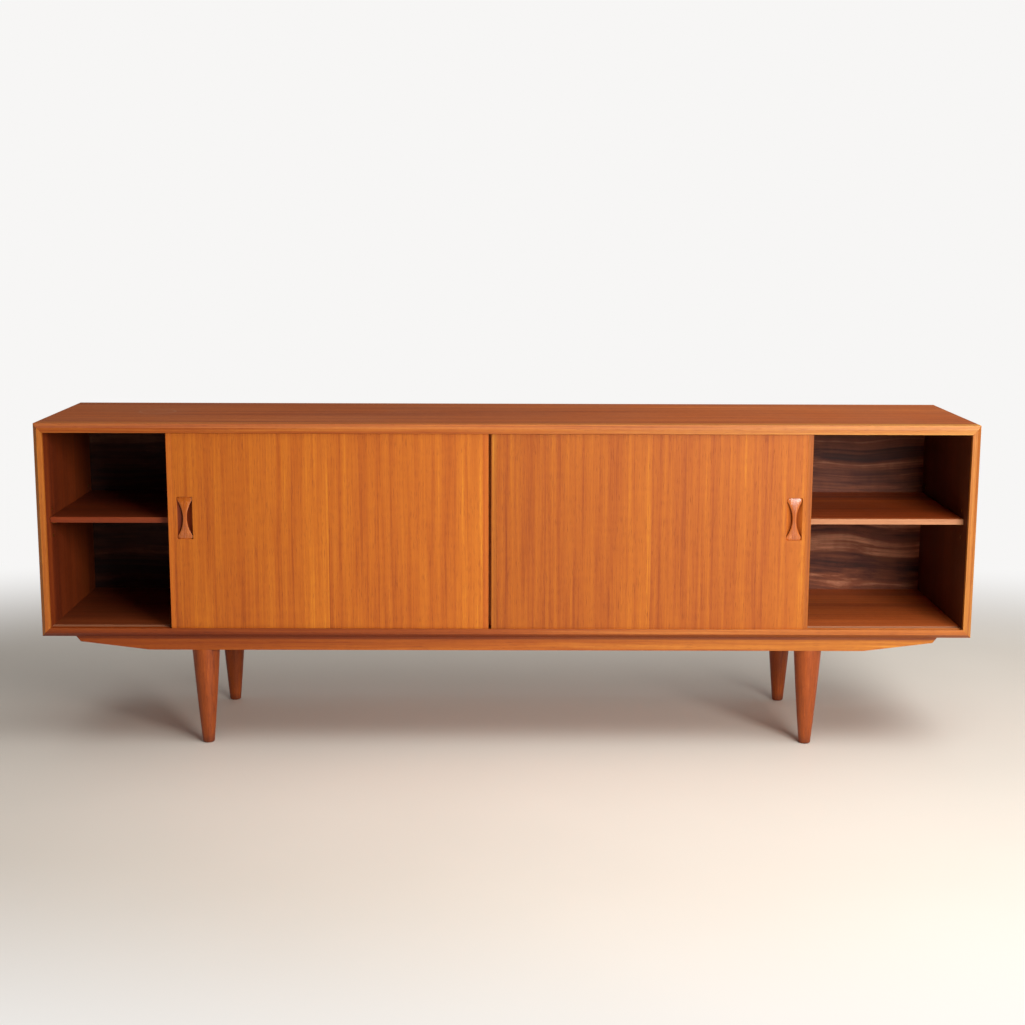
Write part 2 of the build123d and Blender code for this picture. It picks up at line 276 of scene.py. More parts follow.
def ring_mark(tree, place, colour):
    """A faint pale ring where a wet glass once stood, and a slow fading of the oil over the whole top."""
    split = add_node(tree, "ShaderNodeSeparateXYZ", {"Vector": place})
    right = maths(tree, "SUBTRACT", split.outputs["X"], ring_centre[0])
    away = maths(tree, "SUBTRACT", split.outputs["Y"], ring_centre[1])
    reach = distance(tree, right, away)
    miss = maths(tree, "ABSOLUTE", maths(tree, "SUBTRACT", reach, ring_radius))
    ring = maths(tree, "MULTIPLY", spread(tree, miss, ring_width, 0.0), ring_strength)
    inputs = {"Vector": place, "Scale": 4.0, "Detail": 3.0}
    patch = add_node(tree, "ShaderNodeTexNoise", inputs).outputs["Fac"]
    patch = maths(tree, "MULTIPLY", spread(tree, patch, 0.4, 0.75), patch_strength)
    toned = blend(tree, patch, colour, shade(150, 96, 66))
    return blend(tree, ring, toned, shade(205, 170, 140))


def painted_shade_leftwards(left, middle):
    """Painted shade along a piece: its colour darkens from the right end, where the light falls strongest,
    towards the left end. Its left end and its middle keep these shares of the right end's colour."""
    shares = [(*left, 1), (*middle, 1), (1, 1, 1, 1)]

    def change(tree, place, colour):
        along = add_node(tree, "ShaderNodeSeparateXYZ", {"Vector": place}).outputs["X"]
        share = ramp(tree, spread(tree, along, cad_box[0].x, cad_box[1].x), shares)
        return blend(tree, 1.0, colour, share, "MULTIPLY")

    return change


# Painted shade inside the case: the bottom and the shelves darken towards the left bay.
inner_painted_shade = painted_shade_leftwards((0.42, 0.36, 0.3), (0.8, 0.75, 0.7))
for number, (node, grain) in enumerate(board_grain.items()):
    piece = eased(node, f"{node}_board", board_arris)
    change = ring_mark if node == "top_panel" else None
    piece.data.materials.append(wood(f"{node}_veneer", grain, case_shades, 11 + number * 5, change=change))
    inward, shades = inner_faces[node]
    change = inner_painted_shade if node == "bottom_panel" else None
    veneer = wood(f"{node}_inner_veneer", grain, shades, 31 + number * 5, gloss=0.5, change=change)
    piece.data.materials.append(veneer)
    for face in piece.data.polygons:
        face.material_index = 1 if face.normal.dot(inward) > 0.9 else 0
    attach(piece, "case")
    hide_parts(node)

# ---- the front frame ----
# Solid teak rails and edge strips glued to the boards' front edges and mitred at the corners, with a wide
# bevel round the outside. The rails are painted darker towards the left, as painted shade for the light that
# falls from the right, and the lower rail has painted shade on its lower bevel. The lower of the inner
# door's two tracks is pale, rubbed by that door and painted light for its lit groove wall.

edge_arris = 0.0005
edge_shades = {
    "top_rail": [shade(142, 73, 19), shade(184, 112, 42), shade(210, 147, 63), shade(236, 190, 100)],
    "bottom_rail": [shade(134, 58, 16), shade(175, 94, 31), shade(204, 121, 47), shade(236, 160, 74)],
    "left_lipping": [shade(144, 64, 14), shade(187, 98, 32), shade(213, 128, 48), shade(240, 166, 76)],
    # The right strip's shades are darker than the left's: painted shade against the stronger light on that
    # end.
    "right_lipping": [shade(132, 62, 14), shade(172, 95, 31), shade(196, 124, 46), shade(221, 161, 74)],
}
rail_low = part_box("bottom_rail")[0]
track_start = 0.020  # from the rail's face to the pale part, rubbed by the inner door and painted light for the lit groove wall
track_wear_and_light = 0.75
# the track's pale colour: worn wood and painted light
bare_and_lit_wood = shade(160, 112, 84)
painted_shade_wood = shade(100, 32, 2)  # painted shade under the case's edge
bevel_in_shade = (0.0092, 0.0062)  # where the shade begins and is full, above the rail's underside
bevel_shade = 0.6


def lower_rail_wear_light_and_shade(tree, place, colour):
    """The lower rail's colour: pale where the inner door slides, worn bare there and painted light for the
    lit groove wall, with painted shade on the lower bevel and towards the left end.
    """
    split = add_node(tree, "ShaderNodeSeparateXYZ", {"Vector": place})
    start = rail_low.y + track_start
    inside = maths(tree, "MULTIPLY", spread(tree, split.outputs["Y"], start, start + 0.001), track_wear_and_light)
    begin, full = bevel_in_shade
    below = spread(tree, split.outputs["Z"], rail_low.z + begin, rail_low.z + full)
    below = maths(tree, "MULTIPLY", below, bevel_shade)
    toned = blend(tree, below, low_rail_painted_shade(tree, place, colour), painted_shade_wood)
    return blend(tree, inside, toned, bare_and_lit_wood)


# Painted shade along the rails, darker towards the left end.
high_rail_painted_shade = painted_shade_leftwards((0.79, 0.46, 0.3), (0.84, 0.55, 0.4))
low_rail_painted_shade = painted_shade_leftwards((0.5, 0.28, 0.14), (0.58, 0.38, 0.28))
for number, (node, shades) in enumerate(edge_shades.items()):
    piece = eased(node, f"{node}_strip", edge_arris)
    grain = "X" if "rail" in node else "Z"
    change = {"top_rail": high_rail_painted_shade, "bottom_rail": lower_rail_wear_light_and_shade}.get(node)
    finish = {"wander": 0.004, "band": 0.03, "gloss": 0.38, "change": change}
    piece.data.materials.append(wood(f"{node}_teak", grain, shades, 41 + number * 3, **finish))
    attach(piece, "case")
    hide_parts(node)

# ---- the tongues and dowels inside the joints ----
# Plain beech: a loose tongue in each mitre, and three dowels at the top and bottom of each divider. They are
# glued in and never seen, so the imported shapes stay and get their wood.

beech_shades = [shade(170, 128, 88), shade(198, 158, 112), shade(214, 178, 134)]


def give(node, material):
    """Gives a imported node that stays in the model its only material."""
    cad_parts[node].data.materials.clear()
    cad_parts[node].data.materials.append(material)


beech = wood("beech", "Y", beech_shades, 61, band=0.02, gloss=0.6)
give("mitre_splines", beech)
give("divider_dowels", beech)

# ---- the back ----
# A thin panel with wavy, dark figured veneer on the side that faces the shelves and a plain pale veneer
# behind. It sits in a rebate round the case.

figured_shades = [shade(22, 6, 2), shade(84, 33, 14), shade(146, 78, 46), shade(232, 160, 118)]
# Painted shade on the back: darker towards the left bay, where little light reaches.
back_painted_shade = painted_shade_leftwards((0.28, 0.24, 0.2), (0.62, 0.55, 0.5))
plain_shades = [shade(150, 104, 66), shade(178, 132, 90), shade(196, 152, 108)]

back_arris = 0.0003
wavy_figure = {"wander": 0.07, "band": 0.045, "figure": (0.72, 0.34, 0.05), "gloss": 0.5}
plain_figure = {"wander": 0.02, "band": 0.12, "gloss": 0.62}

piece = eased("back_panel", "back_board", back_arris)
figured = wood("figured_veneer", "X", figured_shades, 71, change=back_painted_shade, **wavy_figure)
piece.data.materials.append(figured)
piece.data.materials.append(wood("plain_backing", "X", plain_shades, 75, **plain_figure))
for face in piece.data.polygons:
    face.material_index = 1 if face.normal.y > 0.5 else 0
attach(piece, "case")
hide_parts("back_panel")

# ---- the back's screws ----
# Small countersunk steel screws through the back panel into the boards. Each has ridges along its shank and
# a driver's slot in its head, and no two were left at the same turn.

back_screw_shank = 0.003
screw_sides = 24
screw_ridge = 0.0011
screw_turn = 2.4  # from one screw's slot to the next, in radians
screw_smooth_angle = math.radians(30)
root_share = 0.39  # radius between two ridges, as a share of the shank's width
tip_share = 0.2
slot_width = 0.22  # as shares of the head's width
slot_depth = 0.16
slot_inset = 0.03
scratches = 900  # in each metre
scratch_tint = 0.7
scratch_roughness = 0.25
scratch_depth = 0.0001


def loose_boxes(node):
    """The lowest and highest corners of each separate part of a node."""
    probe = bpy.data.objects.new("probe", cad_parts[node].data.copy())
    bpy.context.scene.collection.objects.link(probe)
    pick(probe)
    bpy.ops.object.mode_set(mode="EDIT")
    bpy.ops.mesh.select_all(action="SELECT")
    bpy.ops.mesh.remove_doubles(threshold=weld_distance)
    bpy.ops.mesh.separate(type="LOOSE")
    bpy.ops.object.mode_set(mode="OBJECT")
    boxes = []
    for part in list(bpy.context.selected_objects):
        corners = [vertex.co for vertex in part.data.vertices]
        low = Vector([min(corner[i] for corner in corners) for i in range(3)])
        high = Vector([max(corner[i] for corner in corners) for i in range(3)])
        boxes.append((low, high))
        bpy.data.objects.remove(part)
    return sorted(boxes, key=lambda box: tuple(box[0]))


def select_faces(piece, wanted):
    """Goes into edit mode with only the wanted faces selected."""
    bpy.ops.object.mode_set(mode="EDIT")
    bpy.ops.mesh.select_mode(type="FACE")
    bpy.ops.mesh.select_all(action="DESELECT")
    bpy.ops.object.mode_set(mode="OBJECT")
    for face in piece.data.polygons:
        face.select = wanted(face)
    bpy.ops.object.mode_set(mode="EDIT")


def slotted_screw(length, shank, head):
    """A countersunk screw along Z, with the face of its head at zero."""
    bpy.ops.object.select_all(action="DESELECT")
    bpy.ops.mesh.primitive_cylinder_add(
        vertices=screw_sides, radius=head / 2, depth=length, location=(0, 0, -length / 2)
    )
    screw = bpy.context.object
    bpy.ops.object.transform_apply(location=True, rotation=True, scale=True)
    cone = (head - shank) / 2
    ridges = int((length - cone) / screw_ridge)
    bpy.ops.object.mode_set(mode="EDIT")
    for ring in range(ridges):
        bpy.ops.mesh.select_all(action="SELECT")
        bpy.ops.mesh.bisect(plane_co=(0, 0, -cone - ring * screw_ridge), plane_no=(0, 0, 1))
    bpy.ops.object.mode_set(mode="OBJECT")
    for vertex in screw.data.vertices:
        depth = -vertex.co.z
        ring = round((depth - cone) / screw_ridge)
        radius = head / 2
        if depth > cone / 2:
            radius = shank / 2 if ring % 2 == 0 else shank * root_share
        if depth > length - 1e-6:
            radius = shank * tip_share
        vertex.co.x *= radius / (head / 2)
        vertex.co.y *= radius / (head / 2)
    for side in (-1, 1):
        select_faces(screw, lambda face: face.center.z > -1e-6)
        bpy.ops.mesh.bisect(plane_co=(side * head * slot_width / 2, 0, 0), plane_no=(1, 0, 0))
        bpy.ops.object.mode_set(mode="OBJECT")
    half_slot = head * slot_width / 4
    select_faces(screw, lambda face: face.center.z > -1e-6 and abs(face.center.x) < half_slot)
    bpy.ops.mesh.inset(thickness=head * slot_inset)
    bpy.ops.mesh.extrude_region_move(TRANSFORM_OT_translate={"value": (0, 0, -head * slot_depth)})
    bpy.ops.object.mode_set(mode="OBJECT")
    bpy.ops.object.shade_smooth_by_angle(angle=screw_smooth_angle)
    return screw


def set_out(pattern, name, places):
    """Copies a pattern to each place, given as a matrix, and joins the copies into one piece."""
    copies = []
    for place in places:
        copy = bpy.data.objects.new(name, pattern.data.copy())
        bpy.context.scene.collection.objects.link(copy)
        copy.matrix_world = place
        copies.append(copy)
    bpy.data.objects.remove(pattern)
    pick(copies[0])
    for copy in copies:
        copy.select_set(True)
    bpy.ops.object.join()
    bpy.ops.object.transform_apply(location=True, rotation=True, scale=True)
    return copies[0]


def metal(name, colour, rough):
    """Bare metal with fine scratches and a slightly uneven polish."""
    material = bpy.data.materials.new(name)
    material.use_nodes = True
    tree = material.node_tree
    shader = tree.nodes["Principled BSDF"]
    place = add_node(tree, "ShaderNodeTexCoord").outputs["Object"]
    inputs = {"Vector": place, "Scale": scratches, "Detail": 4.0}
    scratch = add_node(tree, "ShaderNodeTexNoise", inputs).outputs["Fac"]
    tint = ramp(tree, scratch, [tuple(c * scratch_tint for c in colour[:3]) + (1,), colour])
    tree.links.new(tint, shader.inputs["Base Color"])
    polish = maths(tree, "ADD", maths(tree, "MULTIPLY", scratch, scratch_roughness), rough)
    tree.links.new(polish, shader.inputs["Roughness"])
    shader.inputs["Metallic"].default_value = 1.0
    inputs = {"Height": scratch, "Strength": 0.1, "Distance": scratch_depth}
    bump = add_node(tree, "ShaderNodeBump", inputs)
    tree.links.new(bump.outputs["Normal"], shader.inputs["Normal"])
    return material


zinc = metal("zinc_steel", shade(196, 198, 202), 0.28)
brass = metal("brass", shade(206, 166, 92), 0.25)
boxes = loose_boxes("back_panel_screws")
facing_back = Matrix.Rotation(math.radians(-90), 4, "X")
places = []
for number, (low, high) in enumerate(boxes):
    middle = (low + high) / 2
    turned = facing_back @ Matrix.Rotation(number * screw_turn, 4, "Z")
    places.append(Matrix.Translation((middle.x, high.y, middle.z)) @ turned)
low, high = boxes[0]
screw = slotted_screw(high.y - low.y, back_screw_shank, high.z - low.z)
piece = set_out(screw, "back_slotted_screws", places)
piece.data.materials.append(zinc)
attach(piece, "case")
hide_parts("back_panel_screws")

# ---- the dividers and shelves ----
# Veneered boards inside the case. Each shelf has a thin solid strip along its front edge and lies loose on
# four brass pins, which plug into brass sockets at one of three heights.

# The shelves' shades are painted lighter than the other inside boards, as painted light in the right bay,
# and darken towards the left as painted shade; the left shelf's strip is painted darker, as painted shade.
shelf_shades = [shade(102, 34, 5), shade(146, 59, 10), shade(172, 74, 16), shade(204, 106, 28)]
shelf_strip_in_painted_shade = [shade(104, 34, 9), shade(140, 56, 18), shade(163, 76, 28)]
pale_strip = [shade(158, 94, 56), shade(179, 116, 76), shade(200, 140, 98)]
strip_shades = {"left": shelf_strip_in_painted_shade, "centre": pale_strip, "right": pale_strip}
pin_in_socket = 0.009
pin_facets = 32
pin_arris = 0.0003
collar_reach = 0.0011
collar_height = 0.0013


def shelf_pin(length, diameter):
    """A pin along X, its wall's face at zero, with a collar against the wall and a rounded tip."""
    bpy.ops.object.select_all(action="DESELECT")
    bpy.ops.mesh.primitive_cylinder_add(
        vertices=pin_facets,
        radius=diameter / 2,
        depth=length,
        location=(length / 2 - pin_in_socket, 0, 0),
        rotation=(0, math.pi / 2, 0),
    )
    pin = bpy.context.object
    bpy.ops.object.transform_apply(location=True, rotation=True, scale=True)
    bpy.ops.object.mode_set(mode="EDIT")
    for reach in (0, collar_reach):
        bpy.ops.mesh.select_all(action="SELECT")
        bpy.ops.mesh.bisect(plane_co=(reach, 0, 0), plane_no=(1, 0, 0))
    bpy.ops.object.mode_set(mode="OBJECT")
    select_faces(pin, lambda face: 0 < face.center.x < collar_reach)
    bpy.ops.mesh.extrude_region_shrink_fatten(TRANSFORM_OT_shrink_fatten={"value": collar_height})
    bpy.ops.object.mode_set(mode="OBJECT")
    round_edges(pin, pin_arris)
    return pin


for number, name in enumerate(("left_divider", "right_divider")):
    piece = eased(name, f"{name}_board", board_arris)
    piece.data.materials.append(wood(f"{name}_veneer", "Z", inner_shades, 81 + number * 4))
    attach(piece, "case")
    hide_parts(name)
for number, bay in enumerate(("left", "centre", "right")):
    piece = eased(f"{bay}_shelf", f"{bay}_shelf_board", board_arris)
    veneer = wood(f"{bay}_shelf_veneer", "X", shelf_shades, 91 + number * 4, change=inner_painted_shade)
    piece.data.materials.append(veneer)
    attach(piece, "case")
    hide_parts(f"{bay}_shelf")
    piece = eased(f"{bay}_shelf_lipping", f"{bay}_shelf_strip", edge_arris)
    teak = wood(f"{bay}_strip_teak", "X", strip_shades[bay], 101 + number * 4, band=0.03)
    piece.data.materials.append(teak)
    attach(piece, "case")
    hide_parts(f"{bay}_shelf_lipping")
    low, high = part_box(f"{bay}_shelf")
    places = []
    for pin_low, pin_high in loose_boxes(f"{bay}_shelf_pins"):
        middle = (pin_low + pin_high) / 2
        if middle.x < (low.x + high.x) / 2:
            places.append(Matrix.Translation((pin_low.x + pin_in_socket, middle.y, middle.z)))
        else:
            wall = Matrix.Translation((pin_high.x - pin_in_socket, middle.y, middle.z))
            places.append(wall @ Matrix.Rotation(math.pi, 4, "Z"))
    pin = shelf_pin(pin_high.x - pin_low.x, pin_high.z - pin_low.z)
    piece = set_out(pin, f"{bay}_collared_pins", places)
    piece.data.materials.append(brass)
    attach(piece, "case")
    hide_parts(f"{bay}_shelf_pins")
give("shelf_pin_sockets", brass)

# ---- the sliding doors ----
# Veneered panels with a solid strip glued to each end. The veneer's leaves were cut one after the other from
# the same log, so their figure repeats with small changes across a door and from one door to the next.

# The right door's veneer and strips are painted darker copies of the others: painted shade against the
# stronger light on that side.
bright_veneer = [shade(138, 54, 5), shade(184, 92, 14), shade(204, 113, 20), shade(236, 156, 36)]
veneer_in_painted_shade = [shade(128, 48, 3), shade(170, 83, 9), shade(189, 102, 13), shade(220, 142, 26)]
bright_strip = [shade(140, 56, 9), shade(182, 86, 16), shade(200, 104, 22), shade(222, 136, 42)]
strip_in_painted_shade = [shade(124, 52, 6), shade(162, 82, 11), shade(180, 98, 15), shade(206, 132, 32)]
door_shades = {
    "left_door": (bright_veneer, bright_strip),
    "right_door": (veneer_in_painted_shade, strip_in_painted_shade),
    "centre_door": (bright_veneer, bright_strip),
}
door_figure = {"wander": 0.005, "band": 0.07, "figure": (0.38, 0.4, 0.22), "pore": 0.45}
leaves_per_door = 2
leaf_step = Vector((0.0035, 0.0016, 0.035))


def leaf_place(start, width, first):
    """Coordinates that begin again with each leaf of veneer, a little further into the log each time."""

    def place(tree):
        coordinates = add_node(tree, "ShaderNodeTexCoord").outputs["Object"]
        split = add_node(tree, "ShaderNodeSeparateXYZ", {"Vector": coordinates})
        along_door = maths(tree, "DIVIDE", maths(tree, "SUBTRACT", split.outputs["X"], start), width)
        leaf = maths(tree, "ADD", maths(tree, "FLOOR", along_door), float(first))
        within = maths(tree, "MULTIPLY", maths(tree, "FRACT", along_door), width)
        axes = {}
        for axis, value, step in (
            ("X", within, leaf_step.x),
            ("Y", split.outputs["Y"], leaf_step.y),
            ("Z", split.outputs["Z"], leaf_step.z),
        ):
            axes[axis] = maths(tree, "ADD", value, maths(tree, "MULTIPLY", leaf, step))
        return add_node(tree, "ShaderNodeCombineXYZ", axes).outputs["Vector"]

    return place


for number, (door, (veneer_shades, strip)) in enumerate(door_shades.items()):
    low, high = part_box(f"{door}_panel")
    place = leaf_place(low.x, (high.x - low.x) / leaves_per_door, number * leaves_per_door)
    piece = eased(f"{door}_panel", f"{door}_veneered_panel", edge_arris)
    veneer = wood(f"{door}_veneer", "Z", veneer_shades, 121, place=place, **door_figure)
    piece.data.materials.append(veneer)
    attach(piece, door)
    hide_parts(f"{door}_panel")
    for side in ("left", "right"):
        piece = eased(f"{door}_{side}_edge", f"{door}_{side}_strip", edge_arris)
        teak = wood(f"{door}_{side}_strip_teak", "Z", strip, 131 + number * 2, wander=0.003, band=0.03)
        piece.data.materials.append(teak)
        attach(piece, door)
        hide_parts(f"{door}_{side}_edge")

# ---- the pulls ----
# One for each door, carved from solid teak and glued into a pocket in its face: a bow with hollow sides that
# arches forward at its waist, between two scoops for the fingertips. Use has polished the bow. The scoops
# are painted darker with depth: finger dirt and painted shade of the hollows, strongest on the left door's
# pull.

pull_shades = [shade(136, 58, 14), shade(178, 88, 24), shade(198, 106, 34), shade(220, 136, 60)]
bow_flare_width = 0.048  # where its hollow sides would meet the ends
bow_waist_width = 0.0095
bow_least_margin = 0.0007  # between its widest part and the pull's side
bow_rise = 0.0048  # how far its waist stands in front of its ends
bow_edge_round = 0.0014
bow_edge_power = 6
scoop_floor = 0.0018  # wood behind a scoop
scoop_rim = 0.0072  # from a scoop's floor up to its outer rim
scoop_power = 2
scoop_crowding = 1.5  # draws a scoop's columns of points towards the bow
scoop_end = 0.012  # how far from the pull's ends a scoop begins to rise
scoop_end_share = 0.8
flare_corner = 0.0045
bow_columns = 8
scoop_columns = 7
pull_rows = 72
pull_smooth_angle = math.radians(40)
# the scoops' dark colour: finger dirt and painted shade
stain_and_shade = shade(98, 30, 5)


def carved_pull(door):
    """The pull of one door: a grid of points shaped like its face, then given its thickness."""
    low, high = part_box(f"{door}_pull")
    middle = (low + high) / 2
    half_width = (high.x - low.x) / 2
    half_height = (high.z - low.z) / 2
    end = bow_flare_width / 2
    waist = bow_waist_width / 2
    side_radius = (half_height**2 + (end - waist) ** 2) / (2 * (end - waist))
    arch_radius = (half_height**2 + bow_rise**2) / (2 * bow_rise)
    columns = 2 * (bow_columns + scoop_columns)
    bpy.ops.object.select_all(action="DESELECT")
    bpy.ops.mesh.primitive_grid_add(
        x_subdivisions=columns,
        y_subdivisions=pull_rows,
        size=2,
        location=middle,
        rotation=(math.pi / 2, 0, 0),
    )
    piece = bpy.context.object
    piece.name = f"{door}_carved_pull"
    bpy.ops.object.transform_apply(location=True, rotation=True, scale=True)
    inner = bow_columns / (bow_columns + scoop_columns)
    for face in piece.data.polygons:
        face.material_index = 1 if abs(face.center.x - middle.x) > inner else 0
    for vertex in piece.data.vertices:
        across = vertex.co.x - middle.x
        up = (vertex.co.z - middle.z) * half_height
        side = math.copysign(1, across)
        from_end = half_height - abs(up)
        bow_half = waist + side_radius - math.sqrt(side_radius**2 - up**2)
        bow_half = min(bow_half, half_width - bow_least_margin)
        past_corner = max(0.0, flare_corner - from_end)
        bow_half -= flare_corner - math.sqrt(flare_corner**2 - past_corner**2)
        arch = arch_radius - math.sqrt(arch_radius**2 - up**2)
        if abs(across) <= inner + 1e-6:
            share = abs(across) / inner
            rounded = bow_edge_round * share**bow_edge_power
            x = side * share * bow_half
            y = low.y + arch + rounded
        else:
            share = (abs(across) - inner) / (1 - inner)
            x = side * (bow_half + (half_width - bow_half) * share**scoop_crowding)
            rise = scoop_end_share * scoop_rim * max(0.0, 1 - from_end / scoop_end) ** 2
            y = high.y - scoop_floor - rise - (scoop_rim - rise) * share**scoop_power
        vertex.co = (middle.x + x, y, middle.z + up)
    bpy.ops.object.mode_set(mode="EDIT")
    bpy.ops.mesh.select_all(action="SELECT")
    bpy.ops.mesh.extrude_region_move(TRANSFORM_OT_translate={"value": (0, high.y - low.y, 0)})
    bpy.ops.transform.resize(value=(1, 0, 1), center_override=(middle.x, high.y, middle.z))
    bpy.ops.mesh.select_all(action="SELECT")
    bpy.ops.mesh.normals_make_consistent(inside=False)
    bpy.ops.object.mode_set(mode="OBJECT")
    bpy.ops.object.shade_smooth_by_angle(angle=pull_smooth_angle)
    return piece


def finger_dirt_and_shade(door, shallow, deepest, amount):
    """The change of colour that darkens the scoops of a door's pull with their depth: finger dirt, and
    painted shade of the hollows.
    """
    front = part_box(f"{door}_pull")[0].y

    def change(tree, place, colour):
        deep = add_node(tree, "ShaderNodeSeparateXYZ", {"Vector": place}).outputs["Y"]
        dark = maths(tree, "MULTIPLY", spread(tree, deep, front + shallow, front + deepest), amount)
        return blend(tree, dark, colour, stain_and_shade)

    return change


# how deep the darkening begins and is full, below the bow's face, and its strength: finger dirt and painted
# shade in the scoops
scoop_dirt_and_shade = {
    "left_door": (0.0020, 0.0034, 0.95),
    "right_door": (0.0020, 0.0088, 0.7),
    "centre_door": (0.0030, 0.0080, 0.7),
}
for number, (door, depths) in enumerate(scoop_dirt_and_shade.items()):
    piece = carved_pull(door)
    seed = 151 + number * 3
    fine = {"wander": 0.003, "band": 0.012}
    bow_teak = wood(f"{door}_bow_teak", "Z", pull_shades, seed, gloss=0.2, shine=0.8, **fine)
    fine["change"] = finger_dirt_and_shade(door, *depths)
    scoop_teak = wood(f"{door}_scoop_teak", "Z", pull_shades, seed, gloss=0.55, shine=0.2, **fine)
    piece.data.materials.append(bow_teak)
    piece.data.materials.append(scoop_teak)
    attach(piece, door)
    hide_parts(f"{door}_pull")

# ---- the plinth ----
# Solid teak aprons with long tapered ends at the front and back, painted darker towards the left like the
# rail above them, as painted shade, and with painted shade along their tops under the case's edge, and two
# plain cross rails between them, all screwed up into the bottom board.

apron_shades = [shade(134, 64, 13), shade(183, 103, 25), shade(209, 132, 40), shade(232, 170, 70)]
# Painted shade along the aprons, darker towards the left end.
apron_painted_shade = painted_shade_leftwards((0.5, 0.23, 0.05), (0.74, 0.5, 0.38))
apron_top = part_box("front_apron")[1].z
apron_in_shade = (0.0085, 0.005)  # where the shade begins and is full, below the apron's top
apron_shade = 0.75
apron_arris = 0.0008
rail_arris = 0.0012
rail_shades = [shade(140, 92, 54), shade(170, 122, 78), shade(190, 144, 98)]
plinth_screw_shank = 0.0045


def under_the_case(tree, place, colour):
    """An apron's colour: painted shade that darkens it towards the left end, and painted shade along its
    top, under the case's edge.
    """
    high = add_node(tree, "ShaderNodeSeparateXYZ", {"Vector": place}).outputs["Z"]
    begin, full = apron_in_shade
    hidden = spread(tree, high, apron_top - begin, apron_top - full)
    hidden = maths(tree, "MULTIPLY", hidden, apron_shade)
    return blend(tree, hidden, apron_painted_shade(tree, place, colour), painted_shade_wood)


apron_figure = {"wander": 0.012, "band": 0.035, "gloss": 0.4, "change": under_the_case}
for number, name in enumerate(("front_apron", "rear_apron")):
    piece = eased(name, f"{name}_board", apron_arris)
    teak = wood(f"{name}_teak", "X", apron_shades, 161 + number * 4, **apron_figure)
    piece.data.materials.append(teak)
    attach(piece, "case")
    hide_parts(name)
for number, name in enumerate(("left_cross_rail", "right_cross_rail")):
    piece = eased(name, f"{name}_board", rail_arris)
    rail_wood = wood(f"{name}_wood", "Y", rail_shades, 171 + number * 4, wander=0.01, gloss=0.65)
    piece.data.materials.append(rail_wood)
    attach(piece, "case")
    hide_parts(name)
boxes = loose_boxes("plinth_screws")
facing_down = Matrix.Rotation(math.pi, 4, "X")
places = []
for number, (low, high) in enumerate(boxes):
    middle = (low + high) / 2
    turned = facing_down @ Matrix.Rotation(number * screw_turn, 4, "Z")
    places.append(Matrix.Translation((middle.x, middle.y, low.z)) @ turned)
low, high = boxes[0]
screw = slotted_screw(high.z - low.z, plinth_screw_shank, high.x - low.x)
piece = set_out(screw, "plinth_slotted_screws", places)
piece.data.materials.append(zinc)
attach(piece, "case")
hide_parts("plinth_screws")

# ---- the legs ----
# Turned from solid teak with a slight swell, a rounded foot and a flat top that bears on the plinth. The
# finish has darkened where the foot meets the floor. A steel bolt holds each leg in a brass insert.

leg_shades = [shade(101, 33, 6), shade(143, 63, 13), shade(167, 76, 18), shade(188, 99, 30)]
leg_facets = 72
leg_rings = 24
leg_swell = 0.0008
foot_round = 0.0035
foot_diameter = 0.029
top_round = 0.0008
round_segments = 5
leg_smooth_angle = math.radians(40)
mop_reach = (0.034, 0.010)  # where the darkening begins and is full, above the floor
mop_patches = 60  # in each metre
mop_patch_height = 0.02
mop_wear = 0.6


def worn_foot(tree, place, colour):
    """The last few centimetres of a leg, darkened by mops and shoes."""
    height = add_node(tree, "ShaderNodeSeparateXYZ", {"Vector": place}).outputs["Z"]
    inputs = {"Vector": place, "Scale": mop_patches, "Detail": 3.0}
    patch = add_node(tree, "ShaderNodeTexNoise", inputs).outputs["Fac"]
    edge = maths(tree, "ADD", height, maths(tree, "MULTIPLY", patch, mop_patch_height))
    dark = maths(tree, "MULTIPLY", spread(tree, edge, *mop_reach), mop_wear)
    return blend(tree, dark, colour, shade(74, 28, 12))


def turned_leg(node):
    """A leg as wide as the node's top, narrowing to its foot, with both ends rounded off."""
    low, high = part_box(node)
    axis = (low + high) / 2
    top_radius = (high.x - low.x) / 2
    foot_radius = foot_diameter / 2
    height = high.z - low.z
    bpy.ops.object.select_all(action="DESELECT")
    bpy.ops.mesh.primitive_cylinder_add(
        vertices=leg_facets, radius=top_radius, depth=height, location=axis
    )
    piece = bpy.context.object
    piece.name = f"{node}_turned"
    bpy.ops.object.transform_apply(location=True, rotation=True, scale=True)
    bpy.ops.object.mode_set(mode="EDIT")
    for ring in range(1, leg_rings):
        bpy.ops.mesh.select_all(action="SELECT")
        level = low.z + foot_round + (height - foot_round) * ring / leg_rings
        bpy.ops.mesh.bisect(plane_co=(axis.x, axis.y, level), plane_no=(0, 0, 1))
    bpy.ops.object.mode_set(mode="OBJECT")
    for vertex in piece.data.vertices:
        share = (vertex.co.z - low.z) / height
        radius = foot_radius + (top_radius - foot_radius) * share + leg_swell * math.sin(math.pi * share)
        vertex.co.x = axis.x + (vertex.co.x - axis.x) * radius / top_radius
        vertex.co.y = axis.y + (vertex.co.y - axis.y) * radius / top_radius
    for level, rounding in ((low.z, foot_round), (high.z, top_round)):
        for edge in piece.data.edges:
            edge.select = all(abs(piece.data.vertices[v].co.z - level) < 1e-5 for v in edge.vertices)
        bpy.ops.object.mode_set(mode="EDIT")
        bpy.ops.mesh.select_mode(type="EDGE")
        bpy.ops.mesh.bevel(offset=rounding, segments=round_segments, affect="EDGES")
        bpy.ops.mesh.select_all(action="DESELECT")
        bpy.ops.object.mode_set(mode="OBJECT")
    bpy.ops.object.shade_smooth_by_angle(angle=leg_smooth_angle)
    return piece


